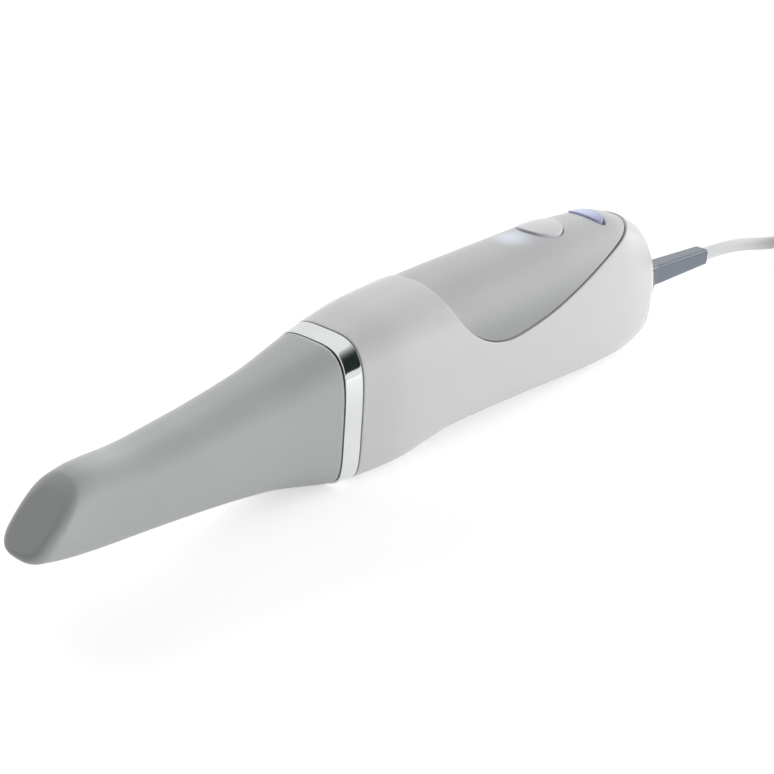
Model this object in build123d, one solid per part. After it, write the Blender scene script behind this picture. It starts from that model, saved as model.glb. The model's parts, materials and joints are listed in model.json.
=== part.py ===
from build123d import *
import os
from collections import namedtuple
from math import copysign, cos, pi, radians, sin, tan

# Hand-held intraoral scanner: a slim pull-off tip, a chrome ring, a two-piece grip and a cable.
# It is drawn along its own optical axis and then laid on its belly.
# On that axis x = 0 is the front of the ring, -X the tip, +X the cable, and z = 0 the ring's lowest point.

# Driving dimensions, in millimetres and degrees
TIP_LENGTH = 90.0            # ring to the tip's lower front corner, before that is rounded
BODY_LENGTH = 134.0          # ring to the rear end of the grip
RING_WIDTH = 28.0
RING_HEIGHT = 37.0
RING_LENGTH = 5.1            # visible width of the chrome band
RING_WALL = 2.0
RING_FLARE = 0.8             # the band grows this much to each side, towards the grip
GRIP_WIDTH = 35.0            # widest place of the grip
BACK_HEIGHT = 43.0           # highest point of the back above the floor
BELLY_ARCH = 2.6             # height of the hollow under the grip
REST_PITCH = 5.5             # the optical axis rises this much towards the tip when it lies down
SHELL_WALL = 2.2
BULKHEAD = 2.6               # front wall of the grip
REAR_WALL = 2.6
SHADOW_GAP = 0.3             # grooves beside the ring
SEAM_GAP = 0.2               # parting line between shell and cover
COVER_STEP = 0.4             # the cover lies this much below the shell on the back
COVER_SCOOP = 1.3            # and up to this much on the flanks, towards the front
BELLY_CUT = 0.35             # depth of the flats that the grip rests on
FIT = 0.15                   # clearance between fixed pieces

# Tip
TIP_END_WIDTH = 16.9
TIP_END_HEIGHT = 21.5
TIP_END_RISE = 1.1           # underside of the mirror end above the ring's lowest point
TIP_SLANT = 40.5             # lean of the mirror end
TIP_END_RADIUS = 3.0
TIP_WALL = 1.6
TIP_STEP = 0.2               # the tip's mouth lies this much below the ring
TIP_FIT = 0.45               # clearance between the tip and the nose
WINDOW_LENGTH = 14.0
WINDOW_WIDTH = 11.0
MIRROR_THICK = 1.2
MIRROR_SIDE_GAP = 1.2
MIRROR_END_GAP = 2.0

# Nose and optics
NOSE_REACH = 24.0            # how far the nose stands into the tip
NOSE_WALL = 1.5
NOSE_FLANGE = 2.0
NOSE_LIP = 0.9
GLASS_THICK = 1.6
GLASS_LEDGE = 0.7
BENCH_LEVEL = 10.8           # underside of the optical bench
BENCH_THICK = 2.0
BENCH_LENGTH = 40.0
BENCH_WIDTH = 22.0
BENCH_HEAD = 22.0            # height of the bench's upright plate
BENCH_HEAD_THICK = 2.5
LENS_RADIUS = 4.4
LENS_SPACING = 10.4          # between the camera and the projector
LENS_LENGTH = 14.0
LENS_FORWARD = 3.0           # how far the lenses reach into the nose
LENS_RIM = 1.0
LENS_GLASS_THICK = 1.2
HOUSING_WIDTH = 10.0         # camera and projector blocks
HOUSING_HEIGHT = 11.0
CAMERA_LENGTH = 9.0
PROJECTOR_LENGTH = 14.0
SINK_LENGTH = 8.0
FIN_COUNT = 5
FIN_GAP = 1.0

# Boards
BOARD_THICK = 1.6
MAIN_BOARD_START = 54.0
MAIN_BOARD_LENGTH = 58.0
MAIN_BOARD_WIDTH = 22.0
MAIN_BOARD_LEVEL = 15.5
SHIELD_SIZE = (22.0, 16.0, 2.6)
SHIELD_CORNER = 1.0
SOCKET_SIZE = (8.0, 9.0, 6.5)
BUTTON_BOARD_START = 72.0
BUTTON_BOARD_LENGTH = 45.0
BUTTON_BOARD_WIDTH = 21.0
BUTTON_BOARD_LEVEL = 40.4
BOSS_RADIUS = 2.3
PILOT_RADIUS = 0.95
PILOT_SPARE = 0.5            # room under a screw's point
SCREW_RADIUS = 0.9
SCREW_HEAD_RADIUS = 1.6
SCREW_HEAD_HEIGHT = 1.1
SCREW_DEPTH = 3.4
BOSS_INSET = 3.0             # from a board's edges to its screws
BENCH_BOSS_INSET = 2.6

# Buttons
BUTTON_PROUD = 0.5
BUTTON_GAP = 0.35
BUTTON_TRAVEL = 0.6
BUTTON_FLANGE = 1.1          # rim under the cover
BUTTON_FLANGE_THICK = 1.2
BUTTON_FLANGE_LEVEL = 46.6   # top of that rim
SCAN_BUTTON_X = 87.8
SCAN_BUTTON_FRONT = 6.9
SCAN_BUTTON_REAR = 6.0
SCAN_BUTTON_HALF = 6.3
MODE_BUTTON_X = 108.0
MODE_BUTTON_FRONT = 3.2
MODE_BUTTON_REAR = 2.8
MODE_BUTTON_HALF = 6.0
SWITCH_SIZE = 6.0
SWITCH_HEIGHT = 1.8
PLUNGER_RADIUS = 1.5
PLUNGER_HEIGHT = 0.7
SWITCH_CHAMFER = 0.4
STEM_RADIUS = 1.8
STEM_SLACK = 0.15            # left between stem and switch at full travel
LED_SIZE = 3.0
LED_HEIGHT = 1.2
GUIDE_RADIUS = 2.6
GUIDE_X = 75.2

# Cable
CABLE_RADIUS = 2.1
BOOT_LENGTH = 36.5
BOOT_RISE = 2.0              # the boot bends up from the optical axis, to lie nearly level
BOOT_FLANGE_RADIUS = 7.6
BOOT_FLANGE_THICK = 2.4
BOOT_NECK_RADIUS = 4.2
BOOT_BEAD_RADIUS = 6.0
BOOT_BEAD_THICK = 1.8
BOOT_FLARE = 9.0             # length of the flared foot of the boot
BOOT_FOOT = 10.6             # and its width at the flange
BOOT_BASE = 6.3              # the sleeve behind the flare
BOOT_END = 5.2
BOOT_CORNER = 1.1            # rounding of the sleeve's long edges
LEAD_RADIUS = 1.7            # lead inside the grip
FIRST_RUN = 11.5             # the cable leaves the boot straight for this long
COIL_COLUMNS = 5             # turns side by side
COIL_LAYERS = 3              # turns on each other
COIL_RADIUS = 23.5           # to the middle of the turns
COIL_FORWARD = 82.0          # from the boot's end to the coil's middle
COIL_ASIDE = -16.4           # the coil's middle beside the scanner's own
TIE_THICK = 0.8
TIE_WIDTH = 5.0
TIE_GAP = 0.3
TIE_ANGLES = (60.0, 180.0)
PLUG_SIZE = (30.0, 15.0, 7.6)
PLUG_SHELL = (14.0, 12.0, 4.5)
PLUG_SHELL_WALL = 0.5
PLUG_TONGUE = 1.9

SECTION_POINTS = 24
GRIP_SECTIONS = 11           # evenly spaced sections before the rounded rear end
TIP_SECTIONS = 8
SNOUT_SECTIONS = 5           # of these, the ones that the nose follows
WAIST_SHARE = 0.42           # where a section is widest, from its bottom up


Station = namedtuple("Station", "x half_width bottom top crown base")
TipStation = namedtuple("TipStation", "x z tilt half_width half_height crown base")


def axis_z(x, height):
    """Height on the optical axis' frame of a point that is so high above the floor."""
    return (height + x*sin(radians(REST_PITCH)))/cos(radians(REST_PITCH))


def power_curve(value, exponent):
    return copysign(abs(value)**(2/exponent), value)


def loop(x, z, tilt, half_width, bottom, top, crown, base):
    """A closed section: two half superellipses that meet at its widest place."""
    waist = bottom + WAIST_SHARE*(top - bottom)
    lean_x, lean_z = sin(radians(tilt)), cos(radians(tilt))
    points = []
    for step in range(SECTION_POINTS):
        angle = 2*pi*step/SECTION_POINTS
        upper = sin(angle) >= 0
        exponent = crown if upper else base
        reach = top - waist if upper else waist - bottom
        across = half_width*power_curve(cos(angle), exponent)
        up = waist + reach*power_curve(sin(angle), exponent)
        points.append((x + up*lean_x, across, z + up*lean_z))
    return Wire(Edge.make_spline([Vector(*p) for p in points], periodic=True))


def between(controls, x):
    """Smooth values at x between control rows that start with their own x, with no overshoot."""
    rows = sorted(controls)
    index = max(1, min(len(rows) - 1, sum(row[0] <= x for row in rows)))
    left, right = rows[index - 1], rows[index]
    span = right[0] - left[0]
    share = (x - left[0])/span

    def slope(at, column):
        """Harmonic mean of the slopes on both sides, or none at an end or a turning point."""
        if at in (0, len(rows) - 1):
            near = min(at, len(rows) - 2)
            return (rows[near + 1][column] - rows[near][column])/(rows[near + 1][0] - rows[near][0])
        before = (rows[at][column] - rows[at - 1][column])/(rows[at][0] - rows[at - 1][0])
        after = (rows[at + 1][column] - rows[at][column])/(rows[at + 1][0] - rows[at][0])
        return 2*before*after/(before + after) if before*after > 0 else 0.0

    values = [x]
    for column in range(1, len(left)):
        a, b = left[column], right[column]
        rise_a, rise_b = slope(index - 1, column)*span, slope(index, column)*span
        values.append(a + share*(rise_a + share*(3*(b - a) - 2*rise_a - rise_b
                                                 + share*(2*(a - b) + rise_a + rise_b))))
    return type(left)(*values)


def body_loop(s, inset=0.0):
    return loop(s.x, 0, 0, s.half_width - inset, s.bottom + inset, s.top - inset, s.crown, s.base)


def tip_loop(s, inset=0.0):
    half_height = s.half_height - inset
    return loop(s.x, s.z, s.tilt, s.half_width - inset, -half_height, half_height, s.crown, s.base)


def block(x0, x1, y0, y1, z0, z1):
    return Pos((x0 + x1)/2, (y0 + y1)/2, (z0 + z1)/2)*Box(x1 - x0, y1 - y0, z1 - z0)


def rod(x, y, z0, z1, radius):
    """Upright cylinder."""
    return Pos(x, y, (z0 + z1)/2)*Cylinder(radius, z1 - z0)


def barrel(x0, x1, y, z, radius):
    """Cylinder along the optical axis."""
    return Pos((x0 + x1)/2, y, z)*Rot(0, 90, 0)*Cylinder(radius, x1 - x0)


def oval(x, front, rear, half, grow=0.0):
    """Egg outline on the XY plane, with its own reach to the front and to the rear."""
    points = []
    for step in range(SECTION_POINTS):
        angle = 2*pi*step/SECTION_POINTS
        reach = (rear if cos(angle) > 0 else front) + grow
        points.append(Vector(x + reach*cos(angle), (half + grow)*sin(angle), 0))
    return Face(Wire(Edge.make_spline(points, periodic=True)))


def upright(face, z0, z1):
    return extrude(Pos(0, 0, z0)*face, z1 - z0, dir=(0, 0, 1))


def body_station(share, width_share, belly, top_share, crown, base):
    x = share*BODY_LENGTH
    top = axis_z(x, top_share*BACK_HEIGHT)
    return Station(x, width_share*GRIP_WIDTH/2, axis_z(x, belly), top, crown, base)


# The ring and the grip: sections along the axis
ring_front = Station(0.0, RING_WIDTH/2, 0.0, RING_HEIGHT, 3.8, 5.5)
ring_rear = Station(RING_LENGTH + SHADOW_GAP, RING_WIDTH/2 + RING_FLARE, axis_z(RING_LENGTH, 0),
                    RING_HEIGHT + 2*RING_FLARE, 3.7, 5.5)
grip_controls = [
    ring_rear,
    body_station(0.147, 0.960, 0.0, 0.940, 3.2, 5.0),
    body_station(0.294, 0.988, BELLY_ARCH, 0.981, 2.6, 5.0),
    body_station(0.515, 1.000, 0.7*BELLY_ARCH, 0.998, 2.3, 5.0),
    body_station(0.699, 0.988, 0.15*BELLY_ARCH, 0.994, 2.2, 5.0),
    body_station(0.823, 0.943, 0.0, 0.958, 2.2, 5.0),
    body_station(0.925, 0.830, 0.25*BELLY_ARCH, 0.847, 2.2, 4.0),
    body_station(0.981, 0.570, BELLY_ARCH, 0.650, 2.2, 3.4),
    body_station(1.000, 0.370, 2*BELLY_ARCH, 0.488, 2.2, 3.0),
]
section_shares = [number/GRIP_SECTIONS for number in range(1, GRIP_SECTIONS)]
section_shares += [0.955, 0.978, 0.992, 1.0]
grip = [ring_rear] + [between(grip_controls, share*BODY_LENGTH) for share in section_shares]
# The cover keeps the grip's line, a step lower on the back and scooped on the flanks at its front
scoop_end = 0.75*BODY_LENGTH


def scooped(s):
    depth = COVER_STEP + (COVER_SCOOP - COVER_STEP)*max(0.0, 1 - s.x/scoop_end)
    return s._replace(half_width=s.half_width - depth, top=s.top - COVER_STEP)


cover = [scooped(s) for s in grip]
# The tip: sections that lean over into the mirror end
end_half_width, end_half_height = TIP_END_WIDTH/2, TIP_END_HEIGHT/2
slant_x, slant_z = cos(radians(TIP_SLANT)), sin(radians(TIP_SLANT))
end_x = end_half_height*slant_z - TIP_LENGTH
end_level = end_half_height + TIP_END_RISE


def tip_station(share, level_share, tilt, width, height):
    return TipStation(share*end_x, level_share*RING_HEIGHT, tilt, width/2, height/2, 2.8, 3.2)


tip_controls = [
    TipStation(-SHADOW_GAP, RING_HEIGHT/2, 0, RING_WIDTH/2 - TIP_STEP, RING_HEIGHT/2 - TIP_STEP, 3.6, 5.0),
    tip_station(0.250, 0.448, 0, 0.83*RING_WIDTH, 0.775*RING_HEIGHT),
    tip_station(0.500, 0.388, 0, 1.21*TIP_END_WIDTH, 1.08*TIP_END_HEIGHT),
    tip_station(0.745, 0.337, 4, 1.07*TIP_END_WIDTH, 0.953*TIP_END_HEIGHT),
    tip_station(0.865, 0.328, 16, 1.02*TIP_END_WIDTH, 0.97*TIP_END_HEIGHT),
    TipStation(end_x, end_level, TIP_SLANT, end_half_width, end_half_height, 2.6, 2.8),
]
tip_span = end_x + SHADOW_GAP
tip_shares = [number/TIP_SECTIONS for number in range(TIP_SECTIONS + 1)]
tip = [between(tip_controls, share*tip_span - SHADOW_GAP) for share in tip_shares]


def tip_hollow():
    """The tip's inside: drawn in by its wall, set back at the mirror end and run out of its mouth."""
    mouth = tip[0]._replace(x=SHADOW_GAP)
    last = tip[-1]
    last = last._replace(x=last.x + TIP_WALL*slant_x, z=last.z - TIP_WALL*slant_z)
    return Solid.make_loft([tip_loop(s, TIP_WALL) for s in [mouth] + tip[1:-1] + [last]])


def snout_loft(inset):
    """The rear stretch of the tip's outside, drawn in by so much."""
    mouth = tip[0]._replace(x=SHADOW_GAP)
    return Solid.make_loft([tip_loop(s, inset) for s in [mouth] + tip[1:SNOUT_SECTIONS]])


def grip_loft(stations, inset=0.0):
    return Solid.make_loft([body_loop(s, inset) for s in stations])


def single(shape):
    """The one solid that a cut or a join leaves."""
    solids = shape.solids()
    return max(solids, key=lambda solid: solid.volume)


pieces = {}

# Tip shell: hollow, open at the ring, with the scan window in its underside
tip_outer = Solid.make_loft([tip_loop(s) for s in tip])
mirror_end = min(tip_outer.faces().filter_by(GeomType.PLANE), key=lambda face: face.center().X)
tip_outer = fillet(mirror_end.edges(), TIP_END_RADIUS)
tip_cavity = tip_hollow()
window_centre = end_x + 0.5*WINDOW_WIDTH
scan_window = block(window_centre - WINDOW_LENGTH/2, window_centre + WINDOW_LENGTH/2,
                    -WINDOW_WIDTH/2, WINDOW_WIDTH/2, -TIP_END_HEIGHT/2, end_level - TIP_END_HEIGHT/4)
scan_window = fillet(scan_window.edges().filter_by(Axis.Z), WINDOW_WIDTH/4)
pieces["tip_shell"] = single(tip_outer - tip_cavity - scan_window)

# Mirror: lies on the inside of the slanted end
mirror_back = min(tip_cavity.faces().filter_by(GeomType.PLANE), key=lambda face: face.center().X)
mirror_plane = Plane(mirror_back.center(), x_dir=(0, 1, 0), z_dir=(slant_x, 0, -slant_z))
mirror_half_width = end_half_width - TIP_WALL - MIRROR_SIDE_GAP
mirror_half_height = end_half_height - TIP_WALL - MIRROR_END_GAP
mirror = extrude(Face.make_rect(2*mirror_half_width, 2*mirror_half_height), MIRROR_THICK)
mirror = fillet(mirror.edges().filter_by(Axis.Z), mirror_half_width/2)
pieces["tip_mirror"] = single(mirror_plane.location*mirror)

# Nose: a hollow snout that the tip slides over, its collar through the ring and its flange
bore_station = ring_front._replace(half_width=ring_front.half_width - RING_WALL,
                                   bottom=ring_front.bottom + RING_WALL, top=ring_front.top - RING_WALL)
bulkhead_front = RING_LENGTH + SHADOW_GAP
bulkhead_rear = bulkhead_front + BULKHEAD
flange_rear = bulkhead_rear + NOSE_FLANGE


def bore_prism(x0, x1, inset):
    """Straight prism of the ring's bore, drawn in by so much."""
    return Solid.make_loft([body_loop(bore_station._replace(x=x), inset) for x in (x0, x1)])


snout_inset = TIP_WALL + TIP_FIT


def slab(x0, x1):
    """All that lies between two planes across the axis."""
    return block(x0, x1, -GRIP_WIDTH, GRIP_WIDTH, -BACK_HEIGHT, 2*BACK_HEIGHT)


front_half = slab(-NOSE_REACH, SHADOW_GAP)
glass_slot = slab(-NOSE_REACH, GLASS_THICK - NOSE_REACH)
snout = snout_loft(snout_inset) & front_half
collar = bore_prism(0, bulkhead_rear, snout_inset - RING_WALL + FIT)
flange = bore_prism(bulkhead_rear, flange_rear, -NOSE_LIP) & grip_loft(grip, SHELL_WALL + FIT)
light_path = snout_loft(snout_inset + NOSE_WALL) & front_half
collar_path = bore_prism(0, flange_rear, snout_inset - RING_WALL + FIT + NOSE_WALL)
glass_seat = snout_loft(snout_inset + NOSE_WALL - GLASS_LEDGE) & glass_slot
pieces["nose_barrel"] = single(snout + collar + flange - light_path - collar_path - glass_seat)
pieces["nose_window"] = single(snout_loft(snout_inset + NOSE_WALL - GLASS_LEDGE + FIT/2) & glass_slot)

# Chrome ring
ring_back = ring_rear._replace(x=RING_LENGTH)
ring_solid = Solid.make_loft([body_loop(ring_front), body_loop(ring_back)])
pieces["trim_ring"] = single(ring_solid - bore_prism(-1, RING_LENGTH + 1, 0.0))

# Grip: one lofted hull, parted along a saddle line into the shell and its cover
grip_outer = grip_loft(grip)
grip_cavity = grip_loft(grip, SHELL_WALL) & slab(bulkhead_rear, BODY_LENGTH - REAR_WALL)
cover_outer = grip_loft(cover)
# The parting line seen from the side, in shares of the grip's length and of the back's height
seam_line = [
    (0.266, 1.100), (0.268, 1.020), (0.282, 0.930), (0.303, 0.840), (0.336, 0.756), (0.380, 0.695),
    (0.427, 0.672), (0.475, 0.690), (0.560, 0.760), (0.640, 0.850), (0.730, 0.960), (0.820, 1.060),
    (0.915, 1.170),
]


def saddle(lower):
    """Everything above the parting line, moved down by so much."""
    points = [Vector(share*BODY_LENGTH, 0, height*BACK_HEIGHT - lower) for share, height in seam_line]
    line = Edge.make_spline(points)
    above = 2*BACK_HEIGHT
    rear_side = Edge.make_line(points[-1], Vector(points[-1].X, 0, above))
    roof = Edge.make_line(Vector(points[-1].X, 0, above), Vector(points[0].X, 0, above))
    front_side = Edge.make_line(Vector(points[0].X, 0, above), points[0])
    face = Face(Wire([line, rear_side, roof, front_side]))
    return extrude(face, GRIP_WIDTH, dir=(0, 1, 0), both=True)


cover_solid = (cover_outer - grip_cavity) & saddle(0.0)
shell_solid = grip_outer - grip_cavity - saddle(SEAM_GAP)


# Boards: four screws each, near the corners
def corner_points(start, length, width, inset):
    xs = (start + inset, start + length - inset)
    ys = (inset - width/2, width/2 - inset)
    return [(x, y) for x in xs for y in ys]


main_points = corner_points(MAIN_BOARD_START, MAIN_BOARD_LENGTH, MAIN_BOARD_WIDTH, BOSS_INSET)
bench_start = flange_rear
bench_points = corner_points(bench_start + BENCH_HEAD_THICK, BENCH_LENGTH - BENCH_HEAD_THICK, BENCH_WIDTH,
                             BENCH_BOSS_INSET)
between_buttons = (SCAN_BUTTON_X + SCAN_BUTTON_REAR + MODE_BUTTON_X - MODE_BUTTON_FRONT)/2
button_points = corner_points(BUTTON_BOARD_START, between_buttons + BOSS_INSET - BUTTON_BOARD_START,
                              BUTTON_BOARD_WIDTH, BOSS_INSET)


def holes(points, z0, z1, radius):
    return [rod(x, y, z0, z1, radius) for x, y in points]


def screws_down(points, seat):
    """Pan-head screws standing on a face at that height, shank down."""
    result = []
    for x, y in points:
        head = rod(x, y, seat, seat + SCREW_HEAD_HEIGHT, SCREW_HEAD_RADIUS)
        head_top = seat + SCREW_HEAD_HEIGHT
        drive = Pos(x, y, head_top)*Box(SCREW_HEAD_RADIUS, SCREW_RADIUS/2, SCREW_HEAD_HEIGHT)
        result.append(single(head + rod(x, y, seat - SCREW_DEPTH, seat, SCREW_RADIUS) - drive))
    return result


def screws_up(points, seat):
    """The same screws hung upside down under a face at that height."""
    return [single(mirror_z(screw, seat)) for screw in screws_down(points, seat)]


def mirror_z(shape, level):
    return shape.mirror(Plane((0, 0, level), z_dir=(0, 0, 1)))


# Shell bosses rise from the floor of the grip to the bench and the main board
mid_wall = grip_loft(grip, SHELL_WALL/2)


def shell_bosses(points, top):
    return [rod(x, y, -BACK_HEIGHT, top, BOSS_RADIUS) & mid_wall for x, y in points]


pilot_depth = SCREW_DEPTH + PILOT_SPARE
shell_solid += shell_bosses(main_points, MAIN_BOARD_LEVEL) + shell_bosses(bench_points, BENCH_LEVEL)
main_pilot = MAIN_BOARD_LEVEL + BOARD_THICK - pilot_depth
bench_pilot = BENCH_LEVEL + BENCH_THICK - pilot_depth
shell_solid -= holes(main_points, main_pilot, MAIN_BOARD_LEVEL, PILOT_RADIUS)
shell_solid -= holes(bench_points, bench_pilot, BENCH_LEVEL, PILOT_RADIUS)
# The bulkhead takes the nose's collar, and a low rim on it carries the ring
shell_solid += bore_prism(RING_LENGTH, bulkhead_front + BULKHEAD/2, -RING_WALL/2)
shell_solid -= bore_prism(RING_LENGTH - 1, bulkhead_rear + 1, snout_inset - RING_WALL)
# The cable leaves through the rear wall
exit_level = (grip[-1].bottom + grip[-1].top)/2
shell_solid -= barrel(BODY_LENGTH - 2*REAR_WALL, BODY_LENGTH + 1, 0, exit_level, BOOT_NECK_RADIUS + FIT)

# Cover posts hang down to the button board
button_board_top = BUTTON_BOARD_LEVEL + BOARD_THICK
post_pilot = button_board_top + pilot_depth - BOARD_THICK
cover_solid += [rod(x, y, button_board_top, 2*BACK_HEIGHT, BOSS_RADIUS) & mid_wall for x, y in button_points]
cover_solid -= holes(button_points, button_board_top, post_pilot, PILOT_RADIUS)
buttons = {
    "scan": (SCAN_BUTTON_X, SCAN_BUTTON_FRONT, SCAN_BUTTON_REAR, SCAN_BUTTON_HALF),
    "mode": (MODE_BUTTON_X, MODE_BUTTON_FRONT, MODE_BUTTON_REAR, MODE_BUTTON_HALF),
}
for shape in buttons.values():
    cover_solid -= upright(oval(*shape, grow=BUTTON_GAP), BUTTON_BOARD_LEVEL, 2*BACK_HEIGHT)
pieces["top_cover"] = single(cover_solid)

# Buttons: caps that follow the back, with a rim under the cover and a stem over the switch
proud_skin = grip_loft(cover, -BUTTON_PROUD)
rim_bottom = BUTTON_FLANGE_LEVEL - BUTTON_FLANGE_THICK
switch_top = button_board_top + SWITCH_HEIGHT
plunger_top = switch_top + PLUNGER_HEIGHT
stem_bottom = plunger_top + BUTTON_TRAVEL + STEM_SLACK
for name, shape in buttons.items():
    cap = upright(oval(*shape), rim_bottom, 2*BACK_HEIGHT) & proud_skin
    rim = upright(oval(*shape, grow=BUTTON_FLANGE), rim_bottom, BUTTON_FLANGE_LEVEL)
    stem = rod(shape[0], 0, min(stem_bottom, rim_bottom), BUTTON_FLANGE_LEVEL, STEM_RADIUS)
    pieces[name + "_button"] = single(cap + rim + stem)
    half = SWITCH_SIZE/2
    body = block(shape[0] - half, shape[0] + half, -half, half, button_board_top, switch_top)
    body = chamfer(body.edges().group_by(Axis.Z)[-1], SWITCH_CHAMFER)
    pieces[name + "_switch"] = single(body + rod(shape[0], 0, switch_top, plunger_top, PLUNGER_RADIUS))

# Button board, status light and its guide to the underside of the cover
half = BUTTON_BOARD_WIDTH/2
button_board = block(BUTTON_BOARD_START, BUTTON_BOARD_START + BUTTON_BOARD_LENGTH, -half, half,
                     BUTTON_BOARD_LEVEL, button_board_top)
button_board = fillet(button_board.edges().filter_by(Axis.Z), BOSS_INSET)
button_board -= holes(button_points, BUTTON_BOARD_LEVEL, button_board_top, SCREW_RADIUS + FIT)
pieces["button_board"] = single(button_board)
pieces["button_board_screws"] = Compound(screws_up(button_points, BUTTON_BOARD_LEVEL))
half = LED_SIZE/2
led_top = button_board_top + LED_HEIGHT
pieces["status_led"] = block(GUIDE_X - half, GUIDE_X + half, -half, half, button_board_top, led_top)
guide = rod(GUIDE_X, 0, led_top, 2*BACK_HEIGHT, GUIDE_RADIUS)
pieces["light_guide"] = single(guide & (Pos(0, 0, -FIT)*grip_cavity))

# Main board with a shielded processor and the cable socket
half = MAIN_BOARD_WIDTH/2
board_end = MAIN_BOARD_START + MAIN_BOARD_LENGTH
board_top = MAIN_BOARD_LEVEL + BOARD_THICK
main_board = block(MAIN_BOARD_START, board_end, -half, half, MAIN_BOARD_LEVEL, board_top)
main_board = fillet(main_board.edges().filter_by(Axis.Z), BOSS_INSET)
main_board -= holes(main_points, MAIN_BOARD_LEVEL, board_top, SCREW_RADIUS + FIT)
pieces["main_board"] = single(main_board)
pieces["main_board_screws"] = Compound(screws_down(main_points, board_top))
board_middle = MAIN_BOARD_START + MAIN_BOARD_LENGTH/2
shield = Pos(board_middle, 0, board_top + SHIELD_SIZE[2]/2)*Box(*SHIELD_SIZE)
pieces["processor_shield"] = single(fillet(shield.edges().filter_by(Axis.Z), SHIELD_CORNER))
socket = Pos(board_end - SOCKET_SIZE[0]/2, 0, board_top + SOCKET_SIZE[2]/2)*Box(*SOCKET_SIZE)
socket_level = board_top + SOCKET_SIZE[2]/2
pieces["cable_socket"] = single(socket)

# Optical bench: a plate with an upright head that holds both lenses
half = BENCH_WIDTH/2
bench_top = BENCH_LEVEL + BENCH_THICK
bench_end = bench_start + BENCH_LENGTH
bench = block(bench_start, bench_end, -half, half, BENCH_LEVEL, bench_top)
head = block(bench_start, bench_start + BENCH_HEAD_THICK, -half, half, BENCH_LEVEL, BENCH_LEVEL + BENCH_HEAD)
head = fillet(head.edges().filter_by(Axis.X).group_by(Axis.Z)[-1], half/2)
lens_level = bench_top + HOUSING_HEIGHT/2
lens_rows = (-LENS_SPACING/2, LENS_SPACING/2)
lens_bores = [barrel(bench_start - 1, bench_start + BENCH_HEAD_THICK + 1, y, lens_level, LENS_RADIUS + FIT)
              for y in lens_rows]
bench_holes = holes(bench_points, BENCH_LEVEL, bench_top, SCREW_RADIUS + FIT)
pieces["optical_bench"] = single(bench + head - lens_bores - bench_holes)
pieces["bench_screws"] = Compound(screws_down(bench_points, bench_top))

# Camera and projector: lenses through the bench head, blocks behind them and a finned sink
block_start = bench_start - LENS_FORWARD + LENS_LENGTH
glasses = []
glass_radius = LENS_RADIUS - LENS_RIM
lens_front = bench_start - LENS_FORWARD
glass_rear = lens_front + 2*LENS_GLASS_THICK
housing_lengths = {"camera": CAMERA_LENGTH, "projector": PROJECTOR_LENGTH}
for y, (name, length) in zip(lens_rows, housing_lengths.items()):
    lens = barrel(lens_front, block_start, y, lens_level, LENS_RADIUS)
    lens -= barrel(lens_front, glass_rear, y, lens_level, glass_radius)
    pieces[name + "_lens"] = single(lens)
    glasses.append(barrel(lens_front + LENS_GLASS_THICK, glass_rear, y, lens_level, glass_radius))
    housing = block(block_start, block_start + length, y - HOUSING_WIDTH/2, y + HOUSING_WIDTH/2,
                    bench_top, bench_top + HOUSING_HEIGHT)
    top_edges = housing.edges().filter_by(Axis.X).group_by(Axis.Z)[-1]
    pieces[name + "_block"] = single(fillet(top_edges, LENS_RIM))
pieces["lens_glasses"] = Compound(glasses)
sink_start = block_start + PROJECTOR_LENGTH
sink_left = lens_rows[1] - HOUSING_WIDTH/2
sink = block(sink_start, sink_start + SINK_LENGTH, sink_left, sink_left + HOUSING_WIDTH,
             bench_top, bench_top + HOUSING_HEIGHT)
fin_pitch = (HOUSING_WIDTH + FIN_GAP)/FIN_COUNT
for number in range(1, FIN_COUNT):
    slot = sink_left + number*fin_pitch - FIN_GAP
    sink -= block(sink_start + 2*FIN_GAP, sink_start + SINK_LENGTH + 1, slot, slot + FIN_GAP,
                  bench_top + BENCH_THICK, bench_top + HOUSING_HEIGHT + 1)
pieces["heat_sink"] = single(sink)

# Strain relief: a bead inside the rear wall, a flange outside it and a square sleeve with a flared foot
boot_plane = Plane((BODY_LENGTH, 0, exit_level), x_dir=(0, 1, 0),
                   z_dir=(cos(radians(BOOT_RISE)), 0, sin(radians(BOOT_RISE))))


def boot_section(offset, size, corner):
    return boot_plane.offset(offset)*RectangleRounded(size, size, corner)


wall_inside = BODY_LENGTH - REAR_WALL
bead = barrel(wall_inside - BOOT_BEAD_THICK, wall_inside, 0, exit_level, BOOT_BEAD_RADIUS)
neck = barrel(wall_inside, BODY_LENGTH, 0, exit_level, BOOT_NECK_RADIUS)
boot_flange = barrel(BODY_LENGTH, BODY_LENGTH + BOOT_FLANGE_THICK, 0, exit_level, BOOT_FLANGE_RADIUS)
boot_flange = fillet(boot_flange.edges().group_by(Axis.X)[-1], BOOT_FLANGE_THICK/3)
flare_start = BOOT_FLANGE_THICK/2
flare_end = BOOT_FLANGE_THICK + BOOT_FLARE
flare_waist = BOOT_BASE + (BOOT_FOOT - BOOT_BASE)/4
flare = loft([boot_section(flare_start, BOOT_FOOT, BOOT_FOOT/3),
              boot_section((flare_start + flare_end)/2, flare_waist, flare_waist/4),
              boot_section(flare_end, BOOT_BASE, BOOT_CORNER)])
sleeve = loft([boot_section(flare_end, BOOT_BASE, BOOT_CORNER),
               boot_section(BOOT_LENGTH, BOOT_END, BOOT_CORNER)])
pieces["strain_relief"] = single(bead + neck + boot_flange + flare + sleeve)

# Lead from the strain relief down to the socket
lead_from = Vector(wall_inside - BOOT_BEAD_THICK, 0, exit_level)
lead_to = Vector(board_end, 0, socket_level)
lead_run = (lead_from.X - lead_to.X)/3
lead_step = Vector(lead_run, 0, 0)
lead_path = FilletPolyline(lead_from, lead_from - lead_step, lead_to + lead_step, lead_to, radius=lead_run)
lead_end = Plane(lead_from, z_dir=(-1, 0, 0))
pieces["inner_lead"] = single(sweep(lead_end*Circle(LEAD_RADIUS), path=lead_path))

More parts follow.
